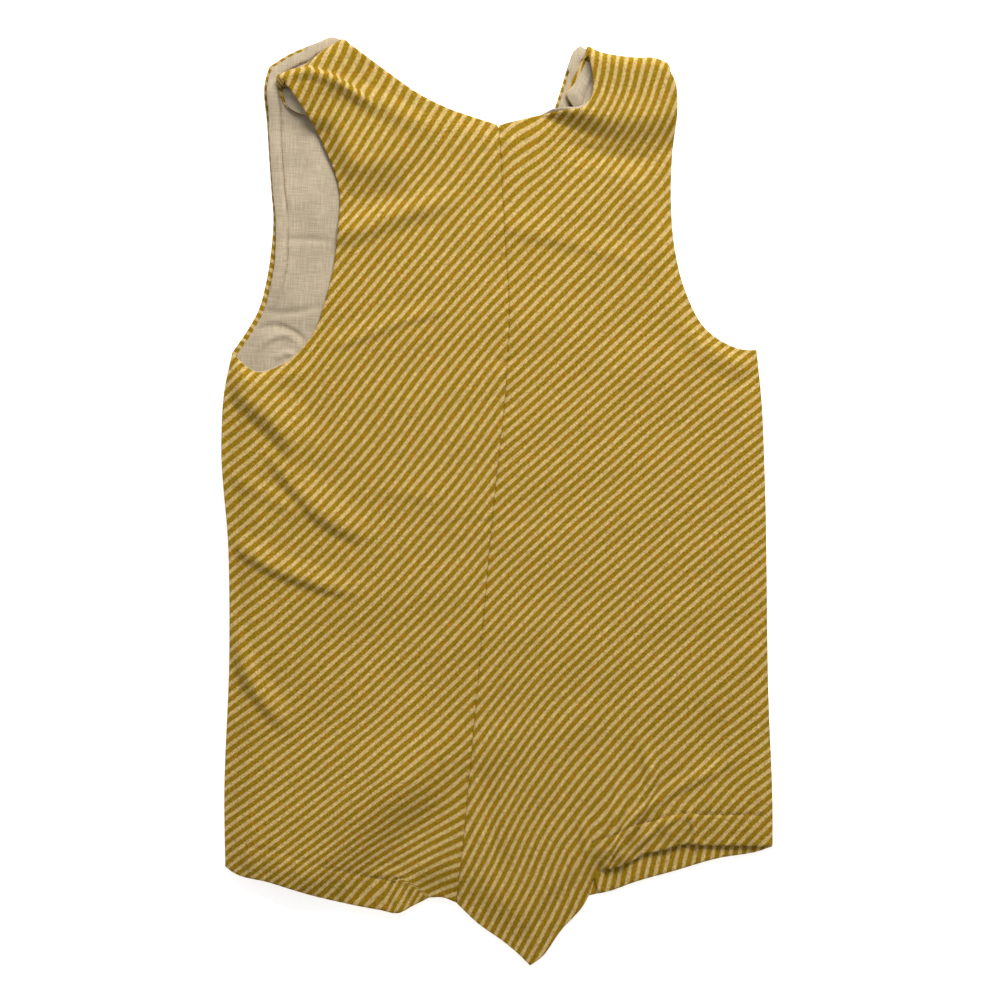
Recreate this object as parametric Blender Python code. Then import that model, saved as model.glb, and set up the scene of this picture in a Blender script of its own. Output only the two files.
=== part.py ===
"""A baby's sleeveless romper lying flat on its front, with its back up.

The garment is built the way it is sewn. Each cut piece is an outline drawn on
the flat, filled with a net of points and given a wall of cloth. A placing
function says where every point of a piece lies, so the back straps turn over
at the shoulders, and hems and linings are the panels' own points moved out.

All tables are in millimetres. The origin is the middle of the garment on the
surface that it lies on. +Y points to the neck and +Z up, and left and right
are those of someone looking down at the back.
"""

import math
from collections import namedtuple

import bmesh
import bpy
import numpy as np
from mathutils import Vector, geometry

# ---------------------------------------------------------------- dimensions
MM = 0.001
CLOTH = 1.0  # wall of every piece of cloth
GAP = 0.3  # air between two pieces that touch
LAYER = CLOTH + GAP  # from one cloth to the next one lying on it
HEM_DEPTH = 15.0  # turned-up allowance round each leg
HEM_END = 8.0  # how far an allowance stops short of a side or crotch seam
LINING_EDGE = 36.0  # the front lining ends at this height, below the armholes
LINING_INSET = 2.0  # the outer cloth shows this far beyond the lining
LINING_SEAM_INSET = 7.0  # the same along the side seams, inside the fold
SEAM_CLEARANCE = 0.15  # each back half stops this short of the centre seam
ROLL_RADIUS = 4.0  # turn of the back straps at the shoulders
STUD_DIAMETER = 10.0
STRAP_LINING_INSET = 1.5  # the outer cloth shows this far beyond a strap's lining
NET_STEP = 10.0  # spacing of the points inside a shaped panel
FLAT_STEP = 40.0  # the same in a piece that lies quite flat
EDGE_STEP = 6.0  # spacing of the points along an outline

# Heights of the middle of each cloth above the surface.
FRONT_Z = CLOTH / 2
INNER_Z = FRONT_Z + LAYER  # linings and allowances that lie on the front
SEAM_Z = FRONT_Z + LAYER  # the back where a seam joins it to the front
BACK_Z = 5.0  # the back over most of the body
EDGE_DROP = 1.5  # the back's open edges hang this much lower
SEAM_ROUNDING = 9.0  # the back reaches its full height this far from a seam
EDGE_ROUNDING = 10.0
STRAP_END_Z = 5.0  # the turned end of a back strap, outer cloth
STRAP_COVER_Z = 8.4  # the back where it covers a turned strap end
SHOULDER_Z = STRAP_END_Z + 2 * ROLL_RADIUS
STRAP_DROP = 12.0  # the back falls from a strap end to the body over this
STRAP_MARGIN = 4.0
STRAP_RISE = 24.0  # the back climbs to the shoulder's height over this

# ---------------------------------------------------------------- outlines
# Each edge of the pattern runs through these points, x to the right and y to
# the neck, as one smooth line. Edges meet at corners.
EDGES = {
    "centre_back": [(1, 188), (4, 130), (6, 97), (4.5, 60), (-1.5, 0), (-10.5, -100), (-18, -180), (-20.5, -201)],
    "neck_left": [(1, 188), (-7, 190.5), (-24.5, 196.5), (-37.5, 202.5), (-55, 214.5), (-73.3, 228)],
    "neck_right": [(45.6, 222.8), (47.8, 212), (46.5, 200.5), (42.5, 196.3), (35.5, 195.3), (10.5, 190.5), (1, 188)],
    "armhole_left": [
        (-106.3, 209.4), (-98, 198), (-86, 176), (-79, 155.5), (-79.5, 137), (-85, 103.5),
        (-94.5, 80), (-109, 67.5), (-120, 64.5), (-128.5, 70), (-132.5, 74.5),
    ],
    "armhole_right": [
        (130, 75.5), (121.5, 76), (114, 79), (105, 85.5), (94, 105.5), (89, 125.5),
        (87, 150), (87.5, 172), (90, 200), (89, 209), (86.3, 214.9),
    ],
    "side_left": [(-132.5, 74.5), (-136.5, 55), (-138, 30), (-134.5, -24), (-134, -76), (-136.5, -150), (-136, -183)],
    "side_right": [(138, -173), (138, -155), (136, -100), (134, 15), (132.5, 50), (130, 75.5)],
    "hem_left": [(-136, -183), (-132.5, -185.5), (-114, -190.5), (-89, -198), (-59, -204.5), (-49, -206), (-43, -203), (-34, -198.5)],
    "hem_right": [(50.5, -185.5), (67, -180.5), (74, -176.5), (81, -175.3), (94, -171.7), (104, -172.2), (126, -172.5), (138, -173)],
    "crotch_left": [(-34, -198.5), (-27, -198.5), (-20.5, -201)],
    "crotch_point_left": [(-20.5, -201), (-10, -211), (4.5, -221.5), (11, -227), (16.5, -232.5)],
    "crotch_point_right": [(16.5, -232.5), (21, -229.5), (32, -215), (43.5, -202), (46, -197.5)],
    "crotch_right": [(46, -197.5), (47.5, -191), (50.5, -185.5)],
    "front_armhole_left": [
        (-132.5, 74.5), (-125, 85.5), (-119.5, 95.5), (-115.5, 110), (-113, 126), (-112, 141),
        (-113, 156), (-115, 187.5), (-116, 211), (-114, 217.5),
    ],
    "front_shoulder_left": [(-114, 217.5), (-104.5, 223.5), (-90, 229.5), (-82, 232.3), (-78, 231)],
    "front_neck": [
        (-78, 231), (-71, 212), (-62, 190), (-45, 168), (-18, 158), (8, 167), (24, 182),
        (29, 197), (32.5, 208), (36, 219.5), (38.5, 225.5), (41.5, 228),
    ],
    "front_shoulder_right": [(41.5, 228), (46, 225.5), (60, 219.5), (76, 216)],
    "front_armhole_right": [
        (76, 216), (83, 209), (85.5, 198), (84.5, 165), (85, 135), (90, 107), (102, 84), (115, 74), (124, 72.5), (130, 75.5),
    ],
    "front_hem_left": [(-136, -183), (-114, -188.5), (-89, -196), (-60, -202.5), (-45, -203), (-34, -198.5)],
    "front_hem_right": [(46, -197.5), (57, -195), (68, -191), (88, -185.3), (110.5, -178.8), (131, -175.2), (138, -173)],
}

# A back strap turns over along its crest. crest is the line of the turn, from
# the neck side to the armhole side, and end is the turned end's outline where
# it lies, from the neck side round to the armhole side.
Strap = namedtuple("Strap", "side crest end stud")
STRAPS = [
    Strap(
        "left",
        [(-77, 230.5), (-87.5, 224), (-96.5, 216.8), (-104, 214.7), (-109, 212.5)],
        [(-77.5, 225.5), (-76.5, 214), (-78, 204), (-83, 197.5), (-98, 193), (-104.5, 196.5), (-108.5, 202.5), (-109.5, 206.5)],
        (-92, 206),
    ),
    Strap(
        "right",
        [(45.4, 226.8), (51, 224.2), (59, 223), (77, 221.8), (84, 219.5)],
        [(43.5, 222.5), (40.3, 215.5), (36.5, 208.5), (34.5, 203), (37, 198), (50, 187.5), (58, 183.5), (65, 184.5), (71, 193), (79.5, 214.5)],
        (58, 200),
    ),
]

# The largest folds of the back: soft ridges, or troughs where rise is below
# zero, each between two points.
Fold = namedtuple("Fold", "name x0 y0 x1 y1 half_width rise")
FOLDS = [
    Fold("left shoulder pleat", -104, 210, -78, 207, 9, 1.2),
    Fold("left waist crease", -138, -24, -100, -41, 9, -1.4),
    Fold("left hip nick", -138, -76, -112, -84, 9, -1.0),
    Fold("left leg trough", -80, -186, -40, -160, 14, -0.5),
    Fold("crotch ridge, inner", 50, -186, 54, -150, 9, 1.8),
    Fold("crotch ridge, middle", 56, -176, 84, -128, 10, 1.6),
    Fold("crotch ridge, outer", 68, -172, 118, -132, 11, 1.4),
    Fold("right leg trough", 88, -168, 134, -148, 9, -0.4),
]

# One row a material: colour is linear red, green and blue.
Finish = namedtuple("Finish", "colour roughness metallic")
FINISHES = {
    "striped_cloth": Finish((0.52, 0.35, 0.06), 0.85, 0.0),
    "lining_cloth": Finish((0.60, 0.50, 0.38), 0.9, 0.0),
    "stud_metal": Finish((0.72, 0.70, 0.66), 0.35, 0.9),
}


# ---------------------------------------------------------------- flat lines
def smooth(amount):
    """0 to 1 with soft ends."""
    amount = np.clip(amount, 0.0, 1.0)
    return amount * amount * (3.0 - 2.0 * amount)


def curve_through(points, step=EDGE_STEP):
    """A smooth line through the points, with a point every step or so."""
    p = np.array(points, float)
    run = np.concatenate([[0.0], np.cumsum(np.hypot(*np.diff(p, axis=0).T))])
    slope = np.gradient(p, run, axis=0)
    count = max(2, int(round(run[-1] / step)) + 1)
    at = np.linspace(0.0, run[-1], count)
    i = np.clip(np.searchsorted(run, at, side="right") - 1, 0, len(p) - 2)
    span = (run[i + 1] - run[i])[:, None]
    u = (at - run[i])[:, None] / span
    start = (1 + 2 * u) * (1 - u) ** 2 * p[i] + u * (1 - u) ** 2 * span * slope[i]
    end = u**2 * (3 - 2 * u) * p[i + 1] + u**2 * (u - 1) * span * slope[i + 1]
    return start + end


def edge(name):
    return curve_through(EDGES[name])


def join(*lines):
    """One closed outline from lines that follow each other."""
    return np.vstack([line[:-1] for line in lines])


def distance_to(points, line):
    """How far each point is from an open line."""
    a = line[:-1]
    along = line[1:] - a
    to_point = points[:, None, :] - a[None]
    share = np.clip((to_point * along).sum(2) / (along**2).sum(1), 0.0, 1.0)
    return np.linalg.norm(to_point - share[..., None] * along, axis=2).min(1)


def is_inside(points, loop):
    """Which points lie inside a closed outline."""
    a, b = loop, np.roll(loop, -1, axis=0)
    x, y = points[:, 0, None], points[:, 1, None]
    crosses = (a[:, 1] > y) != (b[:, 1] > y)
    rise = np.where(a[:, 1] == b[:, 1], 1.0, b[:, 1] - a[:, 1])
    at = a[:, 0] + (y - a[:, 1]) / rise * (b[:, 0] - a[:, 0])
    return (crosses & (x < at)).sum(1) % 2 == 1


def closed(loop):
    return np.vstack([loop, loop[:1]])


def normals_2d(line, is_loop):
    """Unit normals to the left of a line's direction."""
    if is_loop:
        ahead = np.roll(line, -1, axis=0) - np.roll(line, 1, axis=0)
    else:
        ahead = np.gradient(line, axis=0)
    ahead /= np.linalg.norm(ahead, axis=1)[:, None]
    return np.column_stack([-ahead[:, 1], ahead[:, 0]])


def area_of(loop):
    following = np.roll(loop, -1, axis=0)
    return 0.5 * np.sum(loop[:, 0] * following[:, 1] - following[:, 0] * loop[:, 1])


def inset(loop, amount):
    """A closed outline moved inwards, by a distance or by one for each point."""
    inward = normals_2d(loop, True) * math.copysign(1.0, area_of(loop))
    return loop + inward * np.broadcast_to(amount, len(loop))[:, None]


def above(loop, height):
    """The part of a closed outline that is above a level line."""
    kept = []
    for a, b in zip(loop, np.roll(loop, -1, axis=0)):
        if a[1] >= height:
            kept.append(a)
        if (a[1] >= height) != (b[1] >= height):
            kept.append(a + (b - a) * (height - a[1]) / (b[1] - a[1]))
    return np.array(kept)


# ---------------------------------------------------------------- shoulders
class Turn:
    """Turns a strap over at its shoulder, like a belt round a thin rod."""

    def __init__(self, strap):
        crest = curve_through(strap.crest, 3.0)
        self.along = crest[-1] - crest[0]
        self.length = np.linalg.norm(self.along)
        self.along /= self.length
        self.out = np.array([-self.along[1], self.along[0]])
        if self.out[1] < 0:
            self.out = -self.out
        self.start = crest[0] - self.out * ROLL_RADIUS
        self.crest_at = (crest - crest[0]) @ self.along
        self.crest_out = (crest - crest[0]) @ self.out
        self.half_turn = math.pi * ROLL_RADIUS
        self.end = np.array(strap.end, float)
        self.cover = closed(np.vstack([self.end, crest[::-1]]))

    def past(self, points):
        """How far each pattern point is past the line where the turn starts."""
        from_start = points - self.start
        bow = np.interp(from_start @ self.along, self.crest_at, self.crest_out)
        return from_start @ self.out - bow

    def unfold(self, points):
        """Pattern points of the turned end, from where they lie."""
        return points + self.out * (self.half_turn - 2 * self.past(points))[:, None]

    def place(self, points, heights):
        """Where pattern points lie, given the height of those before the turn."""
        past = self.past(points)
        angle = np.clip(past / ROLL_RADIUS, 0.0, math.pi)
        travel = ROLL_RADIUS * np.sin(angle) - np.clip(past, 0.0, None)
        travel -= np.clip(past - self.half_turn, 0.0, None)
        turned = SHOULDER_Z - ROLL_RADIUS * (1 - np.cos(angle))
        z = np.where(past > 0, turned, heights)
        return np.column_stack([points + self.out * travel[:, None], z])

    def rows(self):
        """Rows of points across the turn, close enough to look round."""
        spread = np.arange(-6.0, self.length + 12.0, EDGE_STEP)
        bow = np.interp(spread, self.crest_at, self.crest_out)
        for share in np.linspace(0.0, 1.0, 7):
            off = bow + share * self.half_turn
            yield self.start + np.outer(spread, self.along) + np.outer(off, self.out)

    def cover_height(self, points):
        """The height that the strap end under the back needs at each point,
        and how much it counts there, from 0 to 1."""
        gap = np.where(is_inside(points, self.cover[:-1]), 0.0, distance_to(points, self.cover))
        weight = 1.0 - smooth((gap - STRAP_MARGIN) / STRAP_DROP)
        climb = smooth((self.past(points) + STRAP_RISE) / STRAP_RISE)
        return STRAP_COVER_Z + (SHOULDER_Z - STRAP_COVER_Z) * climb, weight


TURNS = {strap.side: Turn(strap) for strap in STRAPS}
STITCHED = ["side_left", "side_right", "crotch_left", "crotch_point_left", "crotch_point_right", "crotch_right"]
OPEN = ["neck_left", "neck_right", "armhole_left", "armhole_right"]


def fold_height(points, fold):
    """One soft ridge or trough, fading out towards both its ends."""
    ends = np.array([(fold.x0, fold.y0), (fold.x1, fold.y1)], float)
    along = ends[1] - ends[0]
    share = (points - ends[0]) @ along / (along @ along)
    fade = smooth(np.clip(share, 0, 1) * 4) * smooth((1 - np.clip(share, 0, 1)) * 2)
    across = 1.0 - smooth(distance_to(points, ends) / fold.half_width)
    return fold.rise * across * fade


def back_height(points):
    """Height of the middle of the back's cloth over its place on the surface."""
    to_seam = np.min([distance_to(points, edge(name)) for name in STITCHED], axis=0)
    to_edge = np.min([distance_to(points, edge(name)) for name in OPEN], axis=0)
    full = BACK_Z - EDGE_DROP * (1.0 - smooth(to_edge / EDGE_ROUNDING))
    full = full + sum(fold_height(points, fold) for fold in FOLDS)
    z = SEAM_Z + (full - SEAM_Z) * smooth(to_seam / SEAM_ROUNDING)
    for turn in TURNS.values():
        height, weight = turn.cover_height(points)
        z = z + (height - z) * weight
    return z


def place_back(side):
    def place(points):
        return TURNS[side].place(points, back_height(points))

    return place


def place_flat(height):
    def place(points):
        return np.column_stack([points, np.full(len(points), height)])

    return place


def moved_out(place, distance):
    """The same placing for a piece that lies on one side of another."""
    small = 0.2

    def placed(points):
        right = place(points + (small, 0)) - place(points - (small, 0))
        up = place(points + (0, small)) - place(points - (0, small))
        outward = np.cross(right, up)
        outward /= np.linalg.norm(outward, axis=1)[:, None]
        return place(points) + outward * distance

    return placed


# ---------------------------------------------------------------- cloth
def grid_in(outline, step):
    """Points of a triangular grid inside an outline."""
    low, high = outline.min(0), outline.max(0)
    rows = []
    for j, y in enumerate(np.arange(low[1], high[1], step * math.sqrt(3) / 2)):
        x = np.arange(low[0] + (j % 2) * step / 2, high[0], step)
        rows.append(np.column_stack([x, np.full(len(x), y)]))
    grid = np.vstack(rows)
    return grid[is_inside(grid, outline)]


def net(outline, step, rows=(), loops=()):
    """Points and triangles that fill an outline. The triangles follow the
    loops, so that a piece inside a loop can be made from the same points."""
    fixed = [outline]
    for loop in loops:
        fixed.append(loop)
    for row in rows:
        fixed.append(row[is_inside(row, outline) & (distance_to(row, closed(outline)) > 1.5)])
    pinned = np.vstack(fixed)
    grid = grid_in(outline, step)
    nearest = np.min(np.linalg.norm(grid[:, None] - pinned[None], axis=2), axis=1)
    pinned = np.vstack([pinned, grid[nearest > 0.5 * step]])
    links = []
    first = 0
    for loop in [outline, *loops]:
        links += [(first + i, first + (i + 1) % len(loop)) for i in range(len(loop))]
        first += len(loop)
    face = list(range(len(outline)))
    result = geometry.delaunay_2d_cdt([Vector(p) for p in pinned], links, [face], 1, 1e-3)
    points = np.array([tuple(v) for v in result[0]], float)
    triangles = [t if area_of(points[list(t)]) > 0 else t[::-1] for t in result[2]]
    return points, triangles


def within(points, triangles, loop):
    """The triangles of a net that lie inside a loop, with their points."""
    centres = np.array([points[list(t)].mean(0) for t in triangles])
    kept = [t for t, inner in zip(triangles, is_inside(centres, loop)) if inner]
    used = sorted({i for t in kept for i in t})
    place_in = {old: new for new, old in enumerate(used)}
    return points[used], [tuple(place_in[i] for i in t) for t in kept]


def wall(name, cut, place, finish):
    """A named piece of cloth: its points and triangles, placed, with a wall."""
    points, triangles = cut
    upper = moved_out(place, CLOTH / 2)(points)
    lower = moved_out(place, -CLOTH / 2)(points)
    count = len(points)
    faces = [tuple(t) for t in triangles]
    faces += [tuple(i + count for i in reversed(t)) for t in triangles]
    sides = {(t[k], t[(k + 1) % 3]) for t in triangles for k in range(3)}
    for a, b in sorted(sides):
        if (b, a) not in sides:
            faces.append((a, a + count, b + count, b))
    mesh = bpy.data.meshes.new(name)
    mesh.from_pydata((np.vstack([upper, lower]) * MM).tolist(), [], faces)
    mesh.validate()
    return add_object(name, mesh, finish)


def hem_loop(edge_name):
    """The outline of a leg's turned-up allowance, along its hem."""
    line = edge(edge_name)
    run = np.concatenate([[0.0], np.cumsum(np.hypot(*np.diff(line, axis=0).T))])
    line = line[(run > HEM_END) & (run < run[-1] - HEM_END)]
    far = line + normals_2d(line, False) * HEM_DEPTH
    return np.vstack([line, far[::-1]])


# ---------------------------------------------------------------- pieces
def make_front():
    outline = join(
        edge("side_left"), edge("front_hem_left"), edge("crotch_left"), edge("crotch_point_left"),
        edge("crotch_point_right"), edge("front_hem_right"), edge("side_right"),
        edge("front_armhole_right")[::-1], edge("front_shoulder_right")[::-1], edge("front_neck")[::-1],
        edge("front_shoulder_left")[::-1], edge("front_armhole_left")[::-1],
    )
    wall("front", net(outline, FLAT_STEP), place_flat(FRONT_Z), "striped_cloth")
    to_side = np.minimum(distance_to(outline, edge("side_left")), distance_to(outline, edge("side_right")))
    amount = np.where(to_side < LINING_INSET, LINING_SEAM_INSET, LINING_INSET)
    lining = above(inset(outline, amount), LINING_EDGE)
    wall("front_lining", net(lining, FLAT_STEP), place_flat(INNER_Z), "lining_cloth")
    for side in ("left", "right"):
        allowance = net(hem_loop("front_hem_" + side), FLAT_STEP)
        wall("front_hem_" + side, allowance, place_flat(INNER_Z), "striped_cloth")


def back_outline(side):
    """The flat pattern of one half of the back, with its strap unturned."""
    turned = TURNS[side].unfold(curve_through(TURNS[side].end))
    seam = edge("centre_back")
    clear = seam + normals_2d(seam, False) * (-SEAM_CLEARANCE if side == "left" else SEAM_CLEARANCE)
    if side == "left":
        return join(
            clear[::-1], edge("neck_left")[1:], turned, edge("armhole_left"),
            edge("side_left"), edge("hem_left"), edge("crotch_left")[:-1],
        )
    return join(
        clear, edge("crotch_point_left")[1:], edge("crotch_point_right"), edge("crotch_right"),
        edge("hem_right"), edge("side_right"), edge("armhole_right"), turned[::-1], edge("neck_right")[:-1],
    )


def make_back(side):
    """One half of the back, its hem allowance and the lining of its strap end,
    which are both made from the half's own points."""
    turn = TURNS[side]
    place = place_back(side)
    allowance = hem_loop("hem_" + side)
    lining = inset(turn.unfold(curve_through(turn.end)), STRAP_LINING_INSET)
    cut = net(back_outline(side), NET_STEP, list(turn.rows()), [allowance, lining])
    inner = moved_out(place, -LAYER)
    wall("back_" + side, cut, place, "striped_cloth")
    wall("back_hem_" + side, within(*cut, allowance), inner, "striped_cloth")
    wall("strap_lining_" + side, within(*cut, lining), inner, "lining_cloth")


def make_stud(strap):
    """A press stud: its two caps and the post between them, as one turned piece."""
    low = INNER_Z + CLOTH / 2 + GAP
    high = STRAP_END_Z - CLOTH / 2 - GAP
    radius = STUD_DIAMETER / 2
    rim = (high - low) * 0.35
    profile = [(0, low), (radius - 0.3, low), (radius, low + 0.25), (radius, low + rim), (radius * 0.55, low + rim)]
    profile += [(radius * 0.55, high - rim), (radius, high - rim), (radius, high - 0.25), (radius - 0.3, high), (0, high)]
    mesh = bmesh.new()
    ring = [mesh.verts.new((x * MM, 0, z * MM)) for x, z in profile]
    for a, b in zip(ring, ring[1:]):
        mesh.edges.new((a, b))
    bmesh.ops.spin(
        mesh, geom=mesh.verts[:] + mesh.edges[:], cent=(0, 0, 0), axis=(0, 0, 1),
        angle=2 * math.pi, steps=24, use_merge=True,
    )
    bmesh.ops.remove_doubles(mesh, verts=mesh.verts[:], dist=1e-6)
    bmesh.ops.recalc_face_normals(mesh, faces=mesh.faces[:])
    data = bpy.data.meshes.new("stud_" + strap.side)
    mesh.to_mesh(data)
    mesh.free()
    stud = add_object("stud_" + strap.side, data, "stud_metal")
    stud.location = (strap.stud[0] * MM, strap.stud[1] * MM, 0)


def add_object(name, mesh, finish):
    made = bpy.data.objects.new(name, mesh)
    bpy.context.scene.collection.objects.link(made)
    mesh.materials.append(material(finish))
    return made


def material(name):
    made = bpy.data.materials.get(name)
    if made:
        return made
    finish = FINISHES[name]
    made = bpy.data.materials.new(name)
    made.use_nodes = True
    shader = made.node_tree.nodes["Principled BSDF"]
    shader.inputs["Base Color"].default_value = (*finish.colour, 1.0)
    shader.inputs["Roughness"].default_value = finish.roughness
    shader.inputs["Metallic"].default_value = finish.metallic
    return made


def centre_on_origin():
    """Moves everything so that the garment's box is centred over the origin."""
    bpy.context.view_layer.update()
    corners = [o.matrix_world @ v.co for o in bpy.data.objects for v in o.data.vertices]
    low = [min(c[k] for c in corners) for k in range(2)]
    high = [max(c[k] for c in corners) for k in range(2)]
    for o in bpy.data.objects:
        o.location.x -= (low[0] + high[0]) / 2
        o.location.y -= (low[1] + high[1]) / 2


def main():
    for old in list(bpy.data.objects):
        bpy.data.objects.remove(old)
    make_front()
    for strap in STRAPS:
        make_back(strap.side)
        make_stud(strap)
    centre_on_origin()


main()
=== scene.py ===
"""The looks of a baby's sleeveless romper that lies flat on its front, back up.

Every piece of cloth is a fine shell on the form of its solid. It is cut as an
outline on the flat, filled with a net of points and placed in space by the
piece's own function, with its folds, turned edges and seams. The stripes are
worked out on the same points, so they run with the cloth over every fold.

Tables are in millimetres, x to the right and y to the neck, as someone sees
the garment who looks down at its back. Scene units are metres.
"""

import math
from collections import namedtuple
import bmesh
import bpy
import numpy as np
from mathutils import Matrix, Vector, geometry, kdtree


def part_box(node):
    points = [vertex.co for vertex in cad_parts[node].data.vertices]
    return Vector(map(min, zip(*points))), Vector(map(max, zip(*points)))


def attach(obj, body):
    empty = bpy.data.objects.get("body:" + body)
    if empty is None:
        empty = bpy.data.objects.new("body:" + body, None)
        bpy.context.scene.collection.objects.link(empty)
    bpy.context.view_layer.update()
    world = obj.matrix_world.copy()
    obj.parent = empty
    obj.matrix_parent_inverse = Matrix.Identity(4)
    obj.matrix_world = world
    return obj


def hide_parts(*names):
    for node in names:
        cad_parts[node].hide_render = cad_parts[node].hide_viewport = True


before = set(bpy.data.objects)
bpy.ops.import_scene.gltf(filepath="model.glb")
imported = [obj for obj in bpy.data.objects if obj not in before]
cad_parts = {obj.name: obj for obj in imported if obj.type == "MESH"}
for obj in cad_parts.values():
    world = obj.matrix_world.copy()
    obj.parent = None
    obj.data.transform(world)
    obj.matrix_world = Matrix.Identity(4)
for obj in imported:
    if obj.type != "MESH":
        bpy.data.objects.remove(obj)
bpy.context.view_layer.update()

# ---- dimensions
MM = 0.001
CLOTH = 1.0  # wall of the striped cloth
LINING = 0.7  # wall of the lining, a thinner muslin
GAP = 0.3  # air between two pieces that touch
LAYER = CLOTH + GAP
BAND_LAYER = (CLOTH + LINING) / 2 + 0.15  # from the back's cloth to its lining
HEM_DEPTH = 17.0
HEM_END = 4.0
STITCH_INSET = 15.6  # the topstitching of a hem, from its edge
STITCH_PITCH = 2.7
STITCH_LENGTH = 1.9
THREAD = 0.2  # half of the thread's thickness
LINING_EDGE = 36.0  # the lower edge of the front's lining
LINING_SEAM_INSET = 7.0
SEAM_OVERLAP = 0.03  # of each half past the centre seam
ROLL_RADIUS = 4.0

NET_STEP = 1.7  # spacing of the points in the back
FINE_STEP = 0.95  # the same where the cloth is most folded
PLAIN_STEP = 2.4  # and where it lies flat and mostly hidden
EDGE_STEP = 1.5
RIM = 0.5  # a cut or turned edge is rounded over this width
BAKE_RIM = 0.6  # what the rim takes of the map for baking

# Heights of the middle of each cloth above the surface.
FRONT_Z = CLOTH / 2
INNER_Z = FRONT_Z + LAYER  # what lies on the front, and the back at its seams
BACK_Z = 5.0
LOWEST_BACK = 3.4  # where the back rests on the lining
LOWEST_SEAM = INNER_Z - 0.5
SUPPORT_SOFTNESS = 0.2  # square millimetres, of the bend where it comes to rest
EDGE_DROP = 1.5
EDGE_ROUNDING = 10.0
STRAP_END_Z = 5.0
SHOULDER_Z = STRAP_END_Z + 2 * ROLL_RADIUS

# Turned edges and seams.
CURL = 0.65  # a turned edge bends in by this much
CURL_WIDTH = 1.3
SEAM_DIP = 0.5  # the centre seam's groove
SEAM_DIP_WIDTH = 1.3
ALLOWANCE_WIDTH = 8.0  # seam allowances pressed open under the centre seam
ALLOWANCE_RISE = 0.22
ALLOWANCE_EDGE = 1.2
BAND_WIDTH = 10.0  # what is built of the back's lining, along its edges

# ---- outlines
# The pattern's edges, as the solids have them.
EDGES = {
    "centre_back": [
        (1, 188), (4, 130), (6, 97), (4.5, 60), (-1.5, 0), (-10.5, -100), (-18, -180), (-20.5, -201),
    ],
    "neck_left": [(1, 188), (-7, 190.5), (-24.5, 196.5), (-37.5, 202.5), (-55, 214.5), (-73.3, 228)],
    "neck_right": [
        (45.6, 222.8), (47.8, 212), (46.5, 200.5), (42.5, 196.3), (35.5, 195.3), (10.5, 190.5),
        (1, 188),
    ],
    "armhole_left": [
        (-106.3, 209.4), (-98, 198), (-86, 176), (-79, 155.5), (-79.5, 137), (-85, 103.5),
        (-94.5, 80), (-109, 67.5), (-120, 64.5), (-128.5, 70), (-132.5, 74.5),
    ],
    "armhole_right": [
        (130, 75.5), (121.5, 76), (114, 79), (105, 85.5), (94, 105.5), (89, 125.5),
        (87, 150), (87.5, 172), (90, 200), (89, 209), (86.3, 214.9),
    ],
    "side_left": [
        (-132.5, 74.5), (-136.5, 55), (-138, 30), (-134.5, -24), (-134, -76), (-136.5, -150),
        (-136, -183),
    ],
    "side_right": [(138, -173), (138, -155), (136, -100), (134, 15), (132.5, 50), (130, 75.5)],
    "hem_left": [
        (-136, -183), (-132.5, -185.5), (-114, -190.5), (-89, -198), (-59, -204.5), (-49, -206),
        (-43, -203), (-34, -198.5),
    ],
    "hem_right": [
        (50.5, -185.5), (67, -180.5), (74, -176.5), (81, -175.3), (94, -171.7), (104, -172.2),
        (126, -172.5), (138, -173),
    ],
    "crotch_left": [(-34, -198.5), (-27, -198.5), (-20.5, -201)],
    "crotch_point_left": [(-20.5, -201), (-10, -211), (4.5, -221.5), (11, -227), (16.5, -232.5)],
    "crotch_point_right": [(16.5, -232.5), (21, -229.5), (32, -215), (43.5, -202), (46, -197.5)],
    "crotch_right": [(46, -197.5), (47.5, -191), (50.5, -185.5)],
    "front_armhole_left": [
        (-132.5, 74.5), (-125, 85.5), (-119.5, 95.5), (-115.5, 110), (-113, 126), (-112, 141),
        (-113, 156), (-115, 187.5), (-116, 211), (-114, 217.5),
    ],
    "front_shoulder_left": [(-114, 217.5), (-104.5, 223.5), (-90, 229.5), (-82, 232.3), (-78, 231)],
    "front_neck": [
        (-78, 231), (-71, 212), (-62, 190), (-45, 168), (-18, 158), (8, 167), (24, 182),
        (29, 197), (32.5, 208), (36, 219.5), (38.5, 225.5), (41.5, 228),
    ],
    "front_shoulder_right": [(41.5, 228), (46, 225.5), (60, 219.5), (76, 216)],
    "front_armhole_right": [
        (76, 216), (83, 209), (85.5, 198), (84.5, 165), (85, 135), (90, 107), (102, 84), (115, 74),
        (124, 72.5), (130, 75.5),
    ],
    "front_hem_left": [
        (-136, -183), (-114, -188.5), (-89, -196), (-60, -202.5), (-45, -203), (-34, -198.5),
    ],
    "front_hem_right": [
        (46, -197.5), (57, -195), (68, -191), (88, -185.3), (110.5, -178.8), (131, -175.2), (138, -173),
    ],
}
# The edges where back and front are sewn together, and over what distance from
# each of them the back rises to its full height.
STITCHED = {
    "side_left": 15.0,
    "side_right": 9.0,
    "crotch_left": 18.0,
    "crotch_point_left": 20.0,
    "crotch_point_right": 20.0,
    "crotch_right": 14.0,
}
OPEN = ["neck_left", "neck_right", "armhole_left", "armhole_right"]
FOLDS_START = 2.2  # folds reach their full height this many times sooner

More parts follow.
